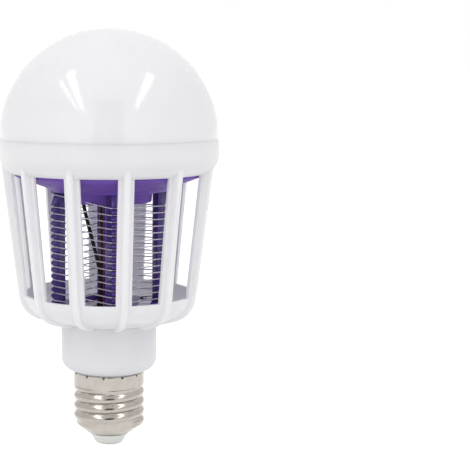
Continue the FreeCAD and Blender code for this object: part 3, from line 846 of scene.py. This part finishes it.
# Dome. Blown opal plastic, smooth outside, whose spigot plugs into the skirt and holds the plate
# and the lamp cup down on the ledge.
dome_r = 39.85
dome_rise = 39.6
dome_wall = 1.6
spigot_r = 38.3
spigot_inner = 36.7
spigot_low = 107.6
inner_pole_turn = math.degrees(math.asin(spigot_inner / (dome_r - dome_wall)))
dome = drawn_section([
    (spigot_r, spigot_low), (spigot_r, skirt_top), (dome_r, skirt_top), (0, skirt_top, -90),
    (0, skirt_top + dome_r - dome_wall), (0, skirt_top, inner_pole_turn), (spigot_inner, spigot_low),
], arc_step=3)
turned(dome, 144)
for vert in dome.verts:
    if vert.co.z > skirt_top:
        vert.co.z = skirt_top + (vert.co.z - skirt_top) * dome_rise / dome_r
opal_plastic = moulded_plastic("opal_plastic", (0.86, 0.855, 0.885), roughness=0.10, drift=0.98, glow=0.3)
finished("opal_dome", dome, opal_plastic, "opal_plastic", "diffuser_dome")


# Lamp boards. Two coated boards carry the white and the ultraviolet lamps, and screws hold both to a
# rolled aluminium plate that spreads their heat. All are hidden under the dome.
def finish_node(name, material):
    nodes[name].data.materials.clear()
    nodes[name].data.materials.append(material)


def bare_metal(name, colour, low, high):
    """Rolled or plated metal with a fine uneven shine."""
    material, tree, shader, place = new_material(name)
    shader.inputs["Metallic"].default_value = 1.0
    toned(tree, shader, place, colour, grain=0.004, dark=0.85)
    polished(tree, shader, place, grain=0.001, low=low, high=high)
    return material


finish_node("heat_sink_plate", bare_metal("sink_aluminium", (0.66, 0.66, 0.68), low=0.3, high=0.5))
finish_node("board_screws", bare_metal("zinc_plate", (0.55, 0.55, 0.54), low=0.25, high=0.4))
white_board = moulded_plastic("white_solder_mask", (0.78, 0.78, 0.76), roughness=0.35)
finish_node("led_board", white_board)
finish_node("uv_board", white_board)
finish_node("white_leds", moulded_plastic("lamp_phosphor", (0.80, 0.58, 0.10), roughness=0.25, glow=0.2))
finish_node("uv_leds", moulded_plastic("violet_resin", (0.42, 0.30, 0.70), roughness=0.08, glow=0.3))


# Driver board. A coated board stands in the neck with its parts soldered on, and insulated leads
# join it to the cap and to the grid.
green_board = moulded_plastic("green_solder_mask", (0.03, 0.14, 0.06), roughness=0.3, drift=0.7)
finish_node("driver_board", green_board)
finish_node("smoothing_capacitor", moulded_plastic("shrink_sleeve", (0.02, 0.02, 0.03), roughness=0.25))
dipped_film = moulded_plastic("dipped_film", (0.30, 0.05, 0.02), roughness=0.2, drift=0.8)
finish_node("storage_capacitors", dipped_film)
moulded_epoxy = moulded_plastic("moulded_epoxy", (0.012, 0.012, 0.012), roughness=0.5)
for name in ("bridge_rectifier", "driver_chip", "boost_diodes"):
    finish_node(name, moulded_epoxy)
finish_node("choke", moulded_plastic("ferrite", (0.03, 0.03, 0.032), roughness=0.45))
finish_node("fuse_resistor", moulded_plastic("flameproof_coat", (0.10, 0.20, 0.14), roughness=0.5))
for name in ("cap_live_lead", "live_grid_lead"):
    finish_node(name, red_insulation)
for name in ("cap_neutral_lead", "return_grid_lead"):
    finish_node(name, black_insulation)


# Studio. A plain white ground and background with even light from all round. Three long narrow lamps
# hang along the bulb's sides, a broad low one fills the front, and a dark card, which only shines
# back, gives the bright cap its dark streaks.
def soft_lamp(name, near, far, width, power):
    """Lamp as long as from one end to the other, turned to face the bulb."""
    near, far = Vector(near), Vector(far)
    along = (far - near).normalized()
    back = (near + far) / 2 - Vector((0, 0, aim_height))
    back = (back - along * back.dot(along)).normalized()
    light = bpy.data.lights.new(name, "AREA")
    light.shape = "RECTANGLE"
    light.size = width
    light.size_y = (far - near).length
    light.energy = power
    lamp = bpy.data.objects.new(name, light)
    scene.collection.objects.link(lamp)
    facing = Matrix((along.cross(back), along, back)).transposed().to_4x4()
    lamp.matrix_world = Matrix.Translation((near + far) / 2) @ facing


def seen_straight(tree):
    """1 on camera, mirror and see-through rays, else 0."""
    rays = tree.nodes.new("ShaderNodeLightPath")
    seen = rays.outputs["Is Camera Ray"]
    for kind in ("Is Glossy Ray", "Is Transmission Ray"):
        either = tree.nodes.new("ShaderNodeMath")
        either.operation = "MAXIMUM"
        tree.links.new(seen, either.inputs[0])
        tree.links.new(rays.outputs[kind], either.inputs[1])
        seen = either.outputs[0]
    return seen


def flat_sheet(name, material, half_width, half_depth, stance=Matrix.Identity(4)):
    """A flat sheet of the studio, in metres, that is no part of the bulb."""
    mesh = bmesh.new()
    bmesh.ops.create_grid(mesh, x_segments=1, y_segments=1, size=1)
    bmesh.ops.scale(mesh, vec=(half_width, half_depth, 1), verts=mesh.verts)
    bmesh.ops.transform(mesh, matrix=stance, verts=mesh.verts)
    data = bpy.data.meshes.new(name)
    mesh.to_mesh(data)
    mesh.free()
    data.materials.append(material)
    sheet = bpy.data.objects.new(name, data)
    scene.collection.objects.link(sheet)
    return sheet


ground_half = 60
ground_lift = 0.55
even_light = 0.775
ground_white, tree, shader, place = new_material("ground_white")
shader.inputs["Base Color"].default_value = (0.88, 0.88, 0.88, 1)
shader.inputs["Roughness"].default_value = 0.9
shader.inputs["Specular IOR Level"].default_value = 0.0
shader.inputs["Emission Color"].default_value = (1, 1, 1, 1)
lift = tree.nodes.new("ShaderNodeMath")
lift.operation = "MULTIPLY"
lift.inputs[1].default_value = ground_lift
tree.links.new(seen_straight(tree), lift.inputs[0])
tree.links.new(lift.outputs[0], shader.inputs["Emission Strength"])
flat_sheet("ground", ground_white, ground_half, ground_half)

world = bpy.data.worlds.new("world")
scene.world = world
world.use_nodes = True
tree = world.node_tree
sky = tree.nodes["Background"]
sky.inputs["Color"].default_value = (1, 1, 1, 1)
level = tree.nodes.new("ShaderNodeMapRange")
level.inputs["To Min"].default_value = even_light
level.inputs["To Max"].default_value = 1.0
tree.links.new(seen_straight(tree), level.inputs["Value"])
tree.links.new(level.outputs["Result"], sky.inputs["Strength"])

soft_lamp("left_strip", (-0.52, -0.10, 1.05), (-0.63, -1.46, 1.05), width=0.12, power=2.6)
soft_lamp("left_thin_strip", (-0.76, -0.20, 1.05), (-0.80, -1.46, 1.05), width=0.05, power=1.0)
soft_lamp("right_strip", (0.60, 0.0, 1.05), (0.87, -1.18, 1.05), width=0.13, power=2.5)
soft_lamp("front_fill", (-1.3, -1.2, 0.45), (1.4, -1.2, 0.45), width=0.9, power=1.3)

card_black, tree, shader, place = new_material("card_black")
shader.inputs["Base Color"].default_value = (0.02, 0.02, 0.02, 1)
shader.inputs["Roughness"].default_value = 1.0
card_away = 0.9
card_height = 0.46
upright = Matrix.Translation((0, -card_away, card_height)) @ Matrix.Rotation(math.radians(90), 4, "X")
dark_card = flat_sheet(
    "dark_card", card_black, half_width=0.24, half_depth=0.45,
    stance=Matrix.Rotation(camera_azimuth, 4, "Z") @ upright,
)
dark_card.visible_camera = False
dark_card.visible_diffuse = False
dark_card.visible_transmission = False
dark_card.visible_shadow = False
